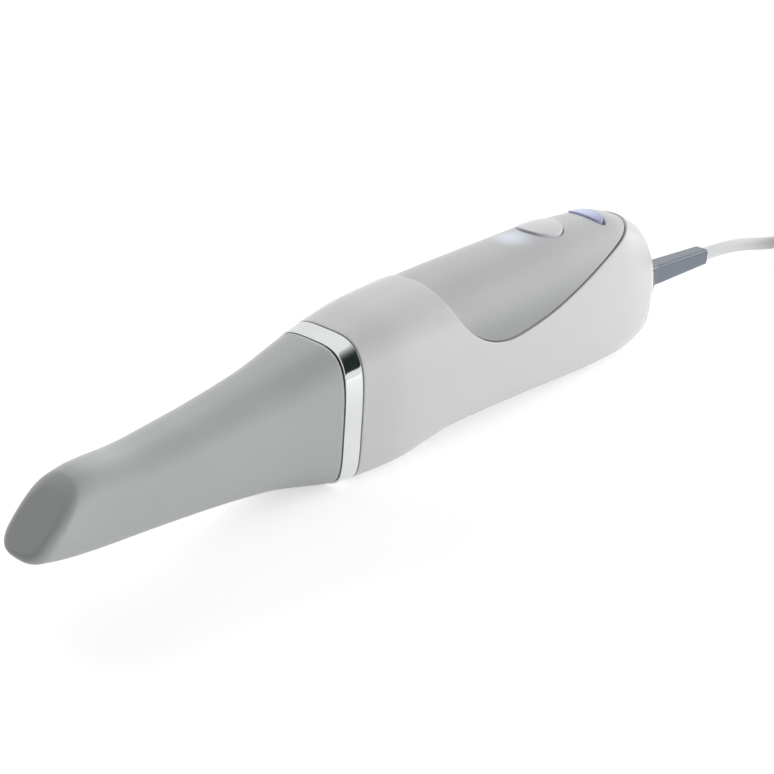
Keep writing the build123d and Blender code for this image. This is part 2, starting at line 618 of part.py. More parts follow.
# Lay the scanner on its belly and set the origin under the middle of its box
pieces["main_shell"] = single(shell_solid)
tilt = Rot(0, REST_PITCH, 0)
tilted = Compound([tilt*shape for name, shape in pieces.items() if name != "strain_relief"])
box = tilted.bounding_box()
lift = -(tilt*pieces["main_shell"]).bounding_box().min.Z - BELLY_CUT
place = Pos(-(box.min.X + box.max.X)/2, 0, lift)*tilt
pieces = {name: place*shape for name, shape in pieces.items()}
below_floor = block(-BODY_LENGTH, 2*BODY_LENGTH, -GRIP_WIDTH, GRIP_WIDTH, -BACK_HEIGHT, 0)
pieces["main_shell"] = single(pieces["main_shell"] - below_floor)

# Cable: out of the boot, down to the floor, and into a tied coil of what is left over
start = (place*boot_plane.offset(BOOT_LENGTH).location).position
ahead = (place*boot_plane.offset(BOOT_LENGTH + FIRST_RUN).location).position
route_steps = [(23.5, 0.3, -2.6), (34.5, 1.2, -5.7), (46, 3.2, -7.9), (58, 6.8, -8.3), (69, 11.3, -8.0)]
route = [start, ahead] + [start + Vector(*step) for step in route_steps]


def bend_radii(points):
    """The largest radius that each corner's two runs leave room for."""
    radii = []
    for before, corner, after in zip(points, points[1:], points[2:]):
        turn = (corner - before).get_angle(after - corner)
        shorter = min((corner - before).length, (after - corner).length)
        radii.append(0.45*shorter/tan(radians(turn/2)))
    return radii


def cable_along(points):
    """Round cable along straight runs joined by tangent arcs."""
    radii = bend_radii(points)
    print("bend radii", [round(radius, 1) for radius in radii])
    path = FilletPolyline(*points, radius=radii)
    ring = Plane(points[0], z_dir=points[1] - points[0])*Circle(CABLE_RADIUS)
    return single(sweep(ring, path=path))


diameter = 2*CABLE_RADIUS
coil_width = COIL_COLUMNS*diameter
coil_height = COIL_LAYERS*diameter
coil_centre = Vector(start.X + COIL_FORWARD, COIL_ASIDE, TIE_THICK + coil_height/2)
coil_section = Pos(COIL_RADIUS, 0)*RectangleRounded(coil_width, coil_height, CABLE_RADIUS)
coil = Pos(*coil_centre)*revolve(Plane.XZ*coil_section, Axis.Z)
pieces["cable_coil"] = single(coil)
coil_reach = COIL_RADIUS + coil_width/2
coil_side = Pos(*coil_centre)*Cylinder(coil_reach, 2*coil_height)
pieces["cable_tube"] = single(cable_along(route) - coil_side)

# Two ties hold the coil
ties = []
for angle in TIE_ANGLES:
    around = Box(coil_width + 2*(TIE_GAP + TIE_THICK), TIE_WIDTH, coil_height + 2*TIE_THICK)
    inside = Box(coil_width + 2*TIE_GAP, 2*TIE_WIDTH, coil_height)
    ties.append(single(Pos(*coil_centre)*Rot(0, 0, angle)*Pos(COIL_RADIUS, 0, 0)*(around - inside)))
pieces["cable_ties"] = Compound(ties)

# The cable's far end runs over the coil to a flat plug that lies on it
coil_top = coil_centre + Vector(0, 0, coil_height/2 + FIT)
tail_level = coil_top + Vector(0, 0, CABLE_RADIUS)
tail_rise = PLUG_SIZE[2]/2 - CABLE_RADIUS
tail_steps = [(26, 10, 0), (26, -2.5, 0), (19.8, -13.3, 0.3), (8.9, -19.6, 0.9), (-3.6, -19.6, 1)]
tail = [tail_level + Vector(x, y, share*tail_rise) for x, y, share in tail_steps]
pieces["cable_tail"] = cable_along(tail)
plug_heading = tail[-1] - tail[-2]
plug_plane = Plane(tail[-1], x_dir=(0, 0, 1), z_dir=(plug_heading.X, plug_heading.Y, 0))


def plug_bar(z0, length, width, height, radius):
    return plug_plane.offset(z0)*extrude(RectangleRounded(height, width, radius), length)


plug_body = plug_bar(0, *PLUG_SIZE, PLUG_SIZE[2]/3)
plug_body = fillet(plug_body.edges().sort_by_distance(tail[-1])[:8], PLUG_SIZE[2]/5)
pieces["plug_body"] = single(plug_body)
shell_inside = [size - 2*PLUG_SHELL_WALL for size in PLUG_SHELL[1:]]
plug_shell = plug_bar(PLUG_SIZE[0], *PLUG_SHELL, PLUG_SHELL_WALL)
plug_shell -= plug_bar(PLUG_SIZE[0], PLUG_SHELL[0], *shell_inside, PLUG_SHELL_WALL/2)
pieces["plug_shell"] = single(plug_shell)
tongue_length = PLUG_SHELL[0] - PLUG_SHELL_WALL
tongue = plug_bar(PLUG_SIZE[0], tongue_length, shell_inside[0], PLUG_TONGUE, PLUG_SHELL_WALL/2)
tongue_lift = (shell_inside[1] - PLUG_TONGUE)/2
pieces["plug_tongue"] = single(Pos(0, 0, tongue_lift)*tongue)

os.makedirs("parts", exist_ok=True)
for name, shape in pieces.items():
    export_step(shape, f"parts/{name}.step")
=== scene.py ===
import json
from math import cos, pi, radians, sin

import bpy
import numpy as np
from mathutils import Matrix, Vector


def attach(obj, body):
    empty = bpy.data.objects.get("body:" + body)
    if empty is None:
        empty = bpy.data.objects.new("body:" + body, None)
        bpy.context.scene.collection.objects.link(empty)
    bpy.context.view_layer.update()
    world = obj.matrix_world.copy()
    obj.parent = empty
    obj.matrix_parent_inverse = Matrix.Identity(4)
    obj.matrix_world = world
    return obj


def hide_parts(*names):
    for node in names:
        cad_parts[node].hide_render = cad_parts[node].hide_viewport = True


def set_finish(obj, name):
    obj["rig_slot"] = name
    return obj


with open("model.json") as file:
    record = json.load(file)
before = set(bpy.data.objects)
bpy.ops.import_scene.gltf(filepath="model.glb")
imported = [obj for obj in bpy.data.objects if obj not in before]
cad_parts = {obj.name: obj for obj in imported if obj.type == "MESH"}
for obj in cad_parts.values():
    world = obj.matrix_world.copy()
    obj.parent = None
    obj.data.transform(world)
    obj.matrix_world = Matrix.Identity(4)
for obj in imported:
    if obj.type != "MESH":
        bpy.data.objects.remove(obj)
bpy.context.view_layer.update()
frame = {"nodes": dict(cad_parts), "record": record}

# Intraoral scanner: smooth shells over the frame, a cable with its coil, materials, light and camera.
# Shell sizes are in millimetres on the scanner's optical axis, as the frame was drawn:
# x = 0 at the ring's front, -x towards the tip, z = 0 at the ring's lowest point.
MM = 0.001
nodes = frame["nodes"]

# Driving sizes of the shells
AXIS_PITCH = 5.5             # degrees that the axis rises towards the tip
AXIS_ORIGIN = (-25.133, 0.0, 0.118)
BODY_LENGTH = 134.0
GRIP_WIDTH = 35.0
BACK_HEIGHT = 43.0
BELLY_ARCH = 2.6
RING_LENGTH = 5.1
RING_WIDTH = 28.0
RING_HEIGHT = 37.0
RING_FLARE = 0.8
RING_WALL = 2.0
SHADOW_GAP = 0.3
SHELL_WALL = 2.2
SEAM_GAP = 0.1
COVER_STEP = 0.4
COVER_SCOOP = 1.3
TIP_LENGTH = 90.0
TIP_END_WIDTH = 16.9
TIP_END_HEIGHT = 21.5
TIP_END_RISE = 1.1
TIP_END_RADIUS = 3.0
TIP_SLANT = 40.5
TIP_STEP = 0.2
TIP_WALL = 1.6
WINDOW_LENGTH = 14.0
WINDOW_WIDTH = 11.0
NECK_HOLE = 4.35             # radius of the boot's hole in the rear wall
BUTTON_GAP = 0.35
BUTTON_PROUD = 0.5
BUTTON_DEPTH = 4.0
WAIST_SHARE = 0.42           # where a section is widest, from its bottom up
EDGE_RADIUS = 0.24           # rounding of the moulded edges
EDGE_STEPS = 5
REAR_START = 0.93            # share of the body's length from which its rows stand closer
REAR_EASE = 1.6              # how much closer they get towards the rear wall
COVER_START = 0.25           # share of the body's length where the cover's rows begin
SCOOP_END = 0.75             # share of the body's length where the cover's scoop has run out

# Fineness of the skins: rows along the axis and points round it
SHELL_ROWS, SHELL_AROUND = 190, 168
REAR_ROWS, REAR_WALL_ROWS = 40, 6
COVER_ROWS, COVER_AROUND = 210, 200
RING_ROWS, RING_AROUND = 9, 200
TIP_ROWS, TIP_AROUND = 130, 160
TIP_END_ROWS, TIP_FACE_ROWS = 12, 14
BUTTON_RINGS, BUTTON_AROUND = 18, 96
SECTION_STEPS = 4001         # fine steps among which a section's points are spaced
SNAP_SHARE = 0.3             # a point nearer to a cut than this share of an edge moves onto it
TINY = 1e-12                 # added to lengths that are divided by

# Cable
CABLE_DIAMETER = 4.2
COIL_COLUMNS = 5
COIL_LAYERS = 3
COIL_RADIUS = 23.5
COIL_CENTRE = (229.18, -16.4)
COIL_BASE = 0.8
COIL_SWING = 0.28            # how far the cable swings aside as it climbs, as a share of its diameter
COIL_START = 98.0            # degrees round the coil where the cable comes in
LAST_TURNS = 3.714           # turns of the top layer
TURN_POINTS = 24

# Camera, in millimetres in the frame
CAMERA_PLACE = (-300.446, -299.4, 222.0)
CAMERA_RIGHT = (0.6992, -0.7150, 0.0)
CAMERA_UP = (0.3125, 0.3056, 0.8994)
CAMERA_LENS = 83.72
SENSOR_WIDTH = 36.0
NEAREST_SEEN = 0.01          # metres

# Surfaces: drift of the colour, and height of the fine relief in millimetres
PLASTIC_DRIFT, PLASTIC_GRAIN = 0.015, 0.002
METAL_DRIFT, METAL_GRAIN = 0.03, 0.001
GLASS_DRIFT = 0.02
NOISE_LOW, NOISE_HIGH = 0.3, 0.7
# Painted shade on the cover: its colour darkens downwards between these heights
COVER_PAINTED_SHADE_START, COVER_PAINTED_SHADE_FULL = 37.0, 25.0      # heights between which the cover darkens

# Stage, in metres and degrees
SKY_START = -0.6             # direction along x, as a share, where the sky begins to brighten
FLOOR_REACH = 4.0
FLOOR_DROP = 0.0002
FLOOR_SHADE = (0.86, 0.86, 0.86)
MATT = 0.9                   # roughness of the stage
BOARD_TURN = (-130, 60)
BOARD_STEPS = 39
BOARD_LEVELS = (0.2, 3.0)    # heights of its rims, as shares of its reach
BOARD_FADE = (0.4, 0.94)     # cosines off its middle: clear up to the first, dark from the second on


def rows_at(controls, x):
    """Smooth values at x between control rows that start with their own x, with no overshoot."""
    rows = sorted(controls)
    index = max(1, min(len(rows) - 1, sum(row[0] <= x for row in rows)))
    left, right = rows[index - 1], rows[index]
    span = right[0] - left[0]
    share = (x - left[0])/span

    def slope(at, column):
        """Harmonic mean of the slopes on both sides, or none at a turning point."""
        if at in (0, len(rows) - 1):
            near = min(at, len(rows) - 2)
            return (rows[near + 1][column] - rows[near][column])/(rows[near + 1][0] - rows[near][0])
        before = (rows[at][column] - rows[at - 1][column])/(rows[at][0] - rows[at - 1][0])
        after = (rows[at + 1][column] - rows[at][column])/(rows[at + 1][0] - rows[at][0])
        return 2*before*after/(before + after) if before*after > 0 else 0.0

    values = [x]
    for column in range(1, len(left)):
        a, b = left[column], right[column]
        rise_a, rise_b = slope(index - 1, column)*span, slope(index, column)*span
        values.append(a + share*(rise_a + share*(3*(b - a) - 2*rise_a - rise_b
                                                 + share*(2*(a - b) + rise_a + rise_b))))
    return values


def axis_z(x, height):
    """Height on the axis' frame of a point that is so high above the floor."""
    return (height + x*sin(radians(AXIS_PITCH)))/cos(radians(AXIS_PITCH))


def section(half_width, bottom, top, crown, base, count):
    """Evenly spaced points round a section of two half superellipses, from its lowest point on."""
    waist = bottom + WAIST_SHARE*(top - bottom)
    angle = np.linspace(-pi/2, 3*pi/2, SECTION_STEPS)
    c, s = np.cos(angle), np.sin(angle)
    power = 2/np.where(s >= 0, crown, base)
    reach = np.where(s >= 0, top - waist, waist - bottom)
    across = half_width*np.sign(c)*np.abs(c)**power
    up = waist + reach*np.sign(s)*np.abs(s)**power
    length = np.concatenate([[0], np.cumsum(np.hypot(np.diff(across), np.diff(up)))])
    at = np.linspace(0, length[-1], count, endpoint=False)
    return np.interp(at, length, across), np.interp(at, length, up)


def axis_to_frame():
    turn = Matrix.Rotation(radians(AXIS_PITCH), 4, "Y")
    return Matrix.Translation(Vector(AXIS_ORIGIN)) @ turn


PLACE = np.array(axis_to_frame())


def on_frame(points):
    """Points on the axis' frame as points of the frame, both in millimetres."""
    return np.asarray(points, float) @ PLACE[:3, :3].T + PLACE[:3, 3]


def skin_normals(skin):
    """Outward normals of a grid of points that closes round its second direction."""
    along = np.gradient(skin, axis=0)
    around = np.roll(skin, -1, 1) - np.roll(skin, 1, 1)
    normal = np.cross(around, along)
    normal /= np.linalg.norm(normal, axis=2, keepdims=True) + TINY
    outward = skin - skin.mean(1, keepdims=True)
    return normal*np.sign((normal*outward).sum())


def clipped(skin, field, closed=False):
    """The part of a skin where field is below 0: points, normals and faces, cut along field = 0.
    With closed, the last row is one point."""
    count, around = field.shape
    points = skin.reshape(-1, 3).copy()
    normals = skin_normals(skin).reshape(-1, 3)
    value = field.reshape(-1).copy()
    last = (count - 1)*around
    if closed:
        normals[last] = normals[last - around:last].mean(0)
        normals[last] /= np.linalg.norm(normals[last])

    def at(i, j):
        return last if closed and i == count - 1 else i*around + j % around

    edges = [(at(i, j), at(i, j + 1)) for i in range(count) for j in range(around)]
    edges += [(at(i, j), at(i + 1, j)) for i in range(count - 1) for j in range(around)]
    crossing = [(a, b) for a, b in edges if value[a]*value[b] < 0]
    nearest = {}
    for a, b in crossing:
        share = value[a]/(value[a] - value[b])
        for vertex, other, part in ((a, b, share), (b, a, 1 - share)):
            if part < SNAP_SHARE and part < nearest.get(vertex, (1, 0))[0]:
                nearest[vertex] = (part, other)
    moved = {v: points[v] + part*(points[other] - points[v]) for v, (part, other) in nearest.items()}
    for vertex, place in moved.items():
        points[vertex] = place
        value[vertex] = 0.0
    points, normals = list(points), list(normals)
    cuts = {}

    def cut(a, b):
        key = (min(a, b), max(a, b))
        if key not in cuts:
            share = value[a]/(value[a] - value[b])
            points.append(points[a] + share*(points[b] - points[a]))
            mixed = normals[a] + share*(normals[b] - normals[a])
            normals.append(mixed/np.linalg.norm(mixed))
            cuts[key] = len(points) - 1
        return cuts[key]

    faces = []
    for i in range(count - 1):
        for j in range(around):
            corners = list(dict.fromkeys([at(i, j), at(i, j + 1), at(i + 1, j + 1), at(i + 1, j)]))
            if max(value[c] for c in corners) <= 0 and min(value[c] for c in corners) < 0:
                faces.append(corners)
                continue
            if min(value[c] for c in corners) >= 0:
                continue
            face = []
            for a, b in zip(corners, corners[1:] + corners[:1]):
                if value[a] <= 0:
                    face.append(a)
                if value[a]*value[b] < 0:
                    face.append(cut(a, b))
            if len(face) > 2:
                faces.append(face)
    used = sorted({v for face in faces for v in face})
    index = {v: n for n, v in enumerate(used)}
    faces = [[index[v] for v in face] for face in faces]
    return np.array([points[v] for v in used]), np.array([normals[v] for v in used]), faces


def rims(faces):
    """Closed loops of the edges that only one face has, in order."""
    once = {}
    for face in faces:
        for a, b in zip(face, face[1:] + face[:1]):
            if (b, a) in once:
                del once[(b, a)]
            else:
                once[(a, b)] = True
    follow = {a: b for a, b in once}
    loops = []
    while follow:
        first = next(iter(follow))
        loop = [first]
        at = follow.pop(first)
        while at != first and at in follow:
            loop.append(at)
            at = follow.pop(at)
        loops.append(loop)
    return loops


def walled(points, normals, faces, thickness, radius=EDGE_RADIUS):
    """A closed shell: the skin, its inner side, and rounded edges between them round every rim."""
    points, faces = list(points), [list(face) for face in faces]
    outer_count, outer_faces = len(points), len(faces)
    inner = {}
    for loop in rims(faces):
        place = np.array([points[v] for v in loop])
        normal = np.array([normals[v] for v in loop])
        run = np.roll(place, -1, 0) - np.roll(place, 1, 0)
        out = np.cross(run, normal)
        out /= np.linalg.norm(out, axis=1, keepdims=True) + TINY
        profile = [(radius*sin(turn), radius*(1 - cos(turn)))
                   for turn in np.linspace(0, pi/2, EDGE_STEPS)[1:]]
        profile += [(radius, thickness - radius/2), (radius/2, thickness)]
        before = loop
        for reach, depth in profile:
            row = list(range(len(points), len(points) + len(loop)))
            points.extend(place + reach*out - depth*normal)
            for k in range(len(loop)):
                n = (k + 1) % len(loop)
                faces.append([before[n], before[k], row[k], row[n]])
            before = row
        inner.update(zip(loop, before))
    for vertex in range(outer_count):
        if vertex not in inner:
            inner[vertex] = len(points)
            points.append(points[vertex] - thickness*normals[vertex])
    for face in faces[:outer_faces]:
        faces.append([inner[v] for v in reversed(face)])
    return np.array(points), faces


def new_piece(name, points, faces, body, replaced, slot):
    """A smooth mesh piece, given on the axis' frame, that stands for CAD nodes."""
    mesh = bpy.data.meshes.new(name)
    mesh.from_pydata([tuple(p) for p in on_frame(points)*MM], [], faces)
    mesh.validate()
    mesh.update()
    mesh.shade_smooth()
    piece = bpy.data.objects.new(name, mesh)
    bpy.context.scene.collection.objects.link(piece)
    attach(piece, body)
    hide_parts(*replaced)
    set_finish(piece, slot)
    return piece


# Sections of the grip: x, half width, bottom, top, fullness of the upper and of the lower half
def grip_row(share, width_share, belly, top_share, crown, base):
    x = share*BODY_LENGTH
    return (x, width_share*GRIP_WIDTH/2, axis_z(x, belly), axis_z(x, top_share*BACK_HEIGHT), crown, base)


ring_front_row = (0.0, RING_WIDTH/2, 0.0, RING_HEIGHT, 3.8, 5.5)
ring_rear_row = (RING_LENGTH + SHADOW_GAP, RING_WIDTH/2 + RING_FLARE, axis_z(RING_LENGTH, 0),
                 RING_HEIGHT + 2*RING_FLARE, 3.7, 5.5)
grip_rows = [
    ring_rear_row,
    grip_row(0.147, 0.960, 0.0, 0.940, 3.2, 5.0),
    grip_row(0.294, 0.988, BELLY_ARCH, 0.981, 2.6, 5.0),
    grip_row(0.515, 1.000, 0.7*BELLY_ARCH, 0.998, 2.3, 5.0),
    grip_row(0.699, 0.988, 0.15*BELLY_ARCH, 0.994, 2.2, 5.0),
    grip_row(0.823, 0.943, 0.0, 0.958, 2.2, 5.0),
    grip_row(0.925, 0.830, 0.25*BELLY_ARCH, 0.847, 2.2, 4.0),
    grip_row(0.981, 0.570, BELLY_ARCH, 0.650, 2.2, 3.4),
    grip_row(1.000, 0.370, 2*BELLY_ARCH, 0.488, 2.2, 3.0),
]


def grip_at(x):
    return rows_at(grip_rows, x)


def scooped(row):
    """A section of the cover: a step lower on the back, and drawn in on the flanks at its front."""
    x, half_width, bottom, top, crown, base = row
    depth = COVER_STEP + (COVER_SCOOP - COVER_STEP)*max(0.0, 1 - x/(SCOOP_END*BODY_LENGTH))
    return (x, half_width - depth, bottom, top - COVER_STEP, crown, base)


def body_skin(rows, count):
    """Grid of points through sections that stand across the axis."""
    skin = []
    for x, half_width, bottom, top, crown, base in rows:
        across, up = section(half_width, bottom, top, crown, base, count)
        skin.append(np.stack([np.full(count, x), across, up], 1))
    return np.array(skin)


# Parting line between the shell and its cover, seen from the side
SEAM_LINE = [
    (0.266, 1.100), (0.268, 1.020), (0.282, 0.930), (0.303, 0.840), (0.336, 0.756), (0.380, 0.695),
    (0.427, 0.672), (0.475, 0.690), (0.560, 0.760), (0.640, 0.850), (0.730, 0.960), (0.820, 1.060),
    (0.915, 1.170),
]


def seam_points(steps=24):
    """The parting line as close points of a smooth curve through its own points."""
    knots = np.array([(share*BODY_LENGTH, height*BACK_HEIGHT) for share, height in SEAM_LINE])
    ends = np.vstack([2*knots[0] - knots[1], knots, 2*knots[-1] - knots[-2]])
    line = []
    for p0, p1, p2, p3 in zip(ends, ends[1:], ends[2:], ends[3:]):
        for t in np.linspace(0, 1, steps, endpoint=False):
            line.append(0.5*(2*p1 + (p2 - p0)*t + (2*p0 - 5*p1 + 4*p2 - p3)*t*t
                             + (3*p1 - p0 - 3*p2 + p3)*t**3))
    return np.array(line + [knots[-1]])


def above_seam(skin):
    """Distance of each point from the parting line, seen from the side: above 0 in the cover."""
    line = seam_points()
    flat = skin.reshape(-1, 3)[:, [0, 2]]
    a, b = line[:-1], line[1:]
    run = b - a
    best = np.full(len(flat), np.inf)
    for start, step in zip(a, run):
        share = np.clip(((flat - start) @ step)/(step @ step), 0, 1)
        best = np.minimum(best, np.linalg.norm(flat - start - share[:, None]*step, axis=1))
    level = np.interp(flat[:, 0], line[:, 0], line[:, 1])
    inside = (flat[:, 1] > level) & (flat[:, 0] > line[0, 0]) & (flat[:, 0] < line[-1, 0])
    return np.where(inside, best, -best).reshape(skin.shape[:2])


# Buttons: middle, reach to the front and to the rear, half width
SCAN_BUTTON = (87.8, 6.9, 6.0, 6.3)
MODE_BUTTON = (108.0, 3.2, 2.8, 6.0)


def outside_egg(x, y, button):
    """Distance from a button's outline, seen from above: below 0 inside it."""
    middle, front, rear, half = button
    reach = np.where(x > middle, rear, front)
    size = np.hypot((x - middle)/reach, y/half)
    return (size - 1)*np.minimum(reach, half)


def main_shell():
    """White shell: the whole grip below the parting line, kept above the floor."""
    body = np.linspace(ring_rear_row[0] + EDGE_RADIUS, REAR_START*BODY_LENGTH, SHELL_ROWS)
    ease = np.cos(np.linspace(0, pi/2, REAR_ROWS))**REAR_EASE
    rear = BODY_LENGTH - (1 - REAR_START)*BODY_LENGTH*ease
    skin = body_skin([grip_at(x) for x in np.concatenate([body, rear[1:]])], SHELL_AROUND)
    rim = skin[-1]
    centre = (rim.min(0) + rim.max(0))/2
    away = (rim - centre)/np.linalg.norm(rim - centre, axis=1, keepdims=True)
    hole = centre + (NECK_HOLE + EDGE_RADIUS)*away
    wall = [rim + share*(hole - rim) for share in np.linspace(0, 1, REAR_WALL_ROWS)[1:]]
    skin = np.concatenate([skin, wall])
    field = above_seam(skin) + SEAM_GAP/2 + EDGE_RADIUS
    ground = -AXIS_ORIGIN[2]
    lean = sin(radians(AXIS_PITCH))
    upright = cos(radians(AXIS_PITCH))
    level = -skin[:, :, 0]*lean + skin[:, :, 2]*upright
    skin[:, :, 2] += np.maximum(0, ground - level)/upright
    points, faces = walled(*clipped(skin, field), SHELL_WALL)
    return new_piece("white_shell", points, faces, "handpiece", ["main_shell"], "white_shell")


def top_cover():
    """Grey cover, with openings for both buttons."""
    xs = np.linspace(COVER_START*BODY_LENGTH, REAR_START*BODY_LENGTH, COVER_ROWS)
    skin = body_skin([scooped(grip_at(x)) for x in xs], COVER_AROUND)
    field = SEAM_GAP/2 + EDGE_RADIUS - above_seam(skin)
    for button in (SCAN_BUTTON, MODE_BUTTON):
        egg = outside_egg(skin[:, :, 0], skin[:, :, 1], button)
        field = np.maximum(field, BUTTON_GAP + EDGE_RADIUS - egg)
    points, faces = walled(*clipped(skin, field), SHELL_WALL - COVER_STEP)
    return new_piece("grey_cover", points, faces, "handpiece", ["top_cover"], "grey_cover")


def trim_ring():
    """Chrome band."""
    back = (RING_LENGTH,) + ring_rear_row[1:]
    xs = np.linspace(EDGE_RADIUS, RING_LENGTH - EDGE_RADIUS, RING_ROWS)
    skin = body_skin([rows_at([ring_front_row, back], x) for x in xs], RING_AROUND)
    field = np.full(skin.shape[:2], -1.0)
    points, faces = walled(*clipped(skin, field), RING_WALL)
    return new_piece("chrome_ring", points, faces, "handpiece", ["trim_ring"], "chrome")


# Sections of the tip: x, height of the middle, lean, half width, half height, fullness above and below
tip_half_width, tip_half_height = TIP_END_WIDTH/2, TIP_END_HEIGHT/2
tip_end_x = tip_half_height*sin(radians(TIP_SLANT)) - TIP_LENGTH


def tip_row(share, level_share, tilt, width, height):
    return (share*tip_end_x, level_share*RING_HEIGHT, tilt, width/2, height/2, 2.8, 3.2)


tip_rows = [
    (-SHADOW_GAP, RING_HEIGHT/2, 0, RING_WIDTH/2 - TIP_STEP, RING_HEIGHT/2 - TIP_STEP, 3.6, 5.0),
    tip_row(0.250, 0.448, 0, 0.83*RING_WIDTH, 0.775*RING_HEIGHT),
    tip_row(0.500, 0.388, 0, 1.21*TIP_END_WIDTH, 1.08*TIP_END_HEIGHT),
    tip_row(0.745, 0.337, 4, 1.07*TIP_END_WIDTH, 0.953*TIP_END_HEIGHT),
    tip_row(0.865, 0.328, 16, 1.02*TIP_END_WIDTH, 0.97*TIP_END_HEIGHT),
    (tip_end_x, tip_half_height + TIP_END_RISE, TIP_SLANT, tip_half_width, tip_half_height, 2.6, 2.8),
]


def tip_loop(row, inset, count):
    x, z, tilt, half_width, half_height, crown, base = row
    half = half_height - inset
    across, up = section(half_width - inset, -half, half, crown, base, count)
    return np.stack([x + up*sin(radians(tilt)), across, z + up*cos(radians(tilt))], 1)


def tip_skin(count):
    """Grid of points over the tip, round its soft end and to the middle of its slanted face."""
    xs = np.linspace(-SHADOW_GAP/2 - EDGE_RADIUS, tip_end_x + TIP_END_RADIUS, TIP_ROWS)
    loops = [tip_loop(rows_at(tip_rows, x), 0.0, count) for x in xs]
    for turn in np.linspace(0, pi/2, TIP_END_ROWS)[1:]:
        back = TIP_END_RADIUS*(1 - sin(turn))
        row = rows_at(tip_rows, tip_end_x + back)
        loops.append(tip_loop(row, TIP_END_RADIUS*(1 - cos(turn)), count))
    rim = loops[-1]
    centre = rim.mean(0)
    loops += [centre + share*(rim - centre) for share in np.linspace(1, 0, TIP_FACE_ROWS)[1:]]
    return np.array(loops)


def tip_shell():
    """Grey tip with the scan window in its underside."""
    skin = tip_skin(TIP_AROUND)
    middle = tip_end_x + WINDOW_WIDTH/2
    corner = WINDOW_WIDTH/4
    aside = np.abs(skin[:, :, 0] - middle) - WINDOW_LENGTH/2 + corner
    across = np.abs(skin[:, :, 1]) - WINDOW_WIDTH/2 + corner
    beyond = np.hypot(np.maximum(aside, 0), np.maximum(across, 0))
    within = np.minimum(np.maximum(aside, across), 0)
    window = beyond + within - corner
    low = skin[:, :, 2] < TIP_END_RISE + TIP_END_HEIGHT/3
    field = np.where(low, EDGE_RADIUS - window, -1.0)
    points, faces = walled(*clipped(skin, field, closed=True), TIP_WALL)
    return new_piece("grey_tip", points, faces, "tip", ["tip_shell"], "tip_grey")


def button_piece(name, button, body, slot):
    """Button cap: follows the cover's back, a little proud of it, with a rounded edge and a skirt."""
    middle, front, rear, half = button
    count = BUTTON_AROUND
    angle = 2*pi*np.arange(count)/count
    reach = np.where(np.cos(angle) > 0, rear, front)
    points, faces = [], []

    def height(x, y):
        row = scooped(grip_at(x))
        waist = row[2] + WAIST_SHARE*(row[3] - row[2])
        return waist + (row[3] - waist)*max(0.0, 1 - abs(y/row[1])**row[4])**(1/row[4])

    def ring(share, inset, sink):
        xs = middle + share*(reach - inset)*np.cos(angle)
        ys = share*(half - inset)*np.sin(angle)
        return [(x, y, height(x, y) + BUTTON_PROUD - sink) for x, y in zip(xs, ys)]

    loops = [ring(share, EDGE_RADIUS, 0.0) for share in np.linspace(0, 1, BUTTON_RINGS)[1:]]
    for turn in np.linspace(0, pi/2, EDGE_STEPS + 2)[1:]:
        loops.append(ring(1.0, EDGE_RADIUS*(1 - sin(turn)), EDGE_RADIUS*(1 - cos(turn))))
    loops.append(ring(1.0, 0.0, BUTTON_DEPTH))
    points.append((middle, 0, height(middle, 0) + BUTTON_PROUD))
    for loop in loops:
        points.extend(loop)
    for k in range(count):
        n = (k + 1) % count
        faces.append([0, 1 + k, 1 + n])
        for level in range(len(loops) - 1):
            a, b = 1 + level*count, 1 + (level + 1)*count
            faces.append([a + k, b + k, b + n, a + n])
    last = 1 + (len(loops) - 1)*count
    points.append(tuple(np.mean(loops[-1], 0)))
    for k in range(count):
        faces.append([len(points) - 1, last + (k + 1) % count, last + k])
    return new_piece(name, points, faces, body, [body], slot)


# The cable: out of the boot and down to the floor, then the coil's turns, then over them to the plug
ROUTE = [(147.18, 0.0, 10.98), (158.66, 0.0, 10.28), (170.68, 0.0, 8.2), (181.68, -0.3, 5.4),
         (193.18, -0.4, 2.8), (205.0, 5.4, 2.5), (216.18, 11.3, 2.98)]
# From the top layer's end over the coil: angle in degrees, radius and height
CROSSING = [(171, 15.9, 12.2), (141, 15.6, 13.9), (111, 15.6, 15.2), (81, 17.5, 15.6), (51, 22.0, 15.7)]
TAIL = [(255.18, -6.4, 15.65), (255.18, -18.9, 15.65), (248.98, -29.7, 16.16), (238.08, -36.0, 17.18),
        (225.58, -36.0, 17.35)]


def round_coil(angle, radius, height):
    """A point at so many degrees round the coil's middle."""
    turn = radians(angle)
    return (COIL_CENTRE[0] + radius*cos(turn), COIL_CENTRE[1] + radius*sin(turn), height)


def coil_points():
    """Turns that lie side by side and on each other: inwards, outwards and inwards again."""
    inner = COIL_RADIUS - (COIL_COLUMNS - 1)*CABLE_DIAMETER/2
    outer = COIL_RADIUS + (COIL_COLUMNS - 1)*CABLE_DIAMETER/2
    layer_steps = (COIL_COLUMNS - 1)*TURN_POINTS
    climb = TURN_POINTS//2
    level = COIL_BASE + CABLE_DIAMETER/2
    places = []
    for layer in range(COIL_LAYERS):
        top = layer == COIL_LAYERS - 1
        first, last = (outer, inner) if layer % 2 == 0 else (inner, outer)
        for step in range(round(LAST_TURNS*TURN_POINTS) if top else layer_steps):
            places.append((first + step/layer_steps*(last - first), level))
        if not top:
            side = 1 if last == outer else -1
            for step in range(climb):
                share = step/climb
                places.append((last + side*COIL_SWING*CABLE_DIAMETER*sin(pi*share),
                               level + CABLE_DIAMETER*sin(pi/2*share)))
        level += CABLE_DIAMETER
    return [round_coil(COIL_START - 360*number/TURN_POINTS, radius, height)
            for number, (radius, height) in enumerate(places)]


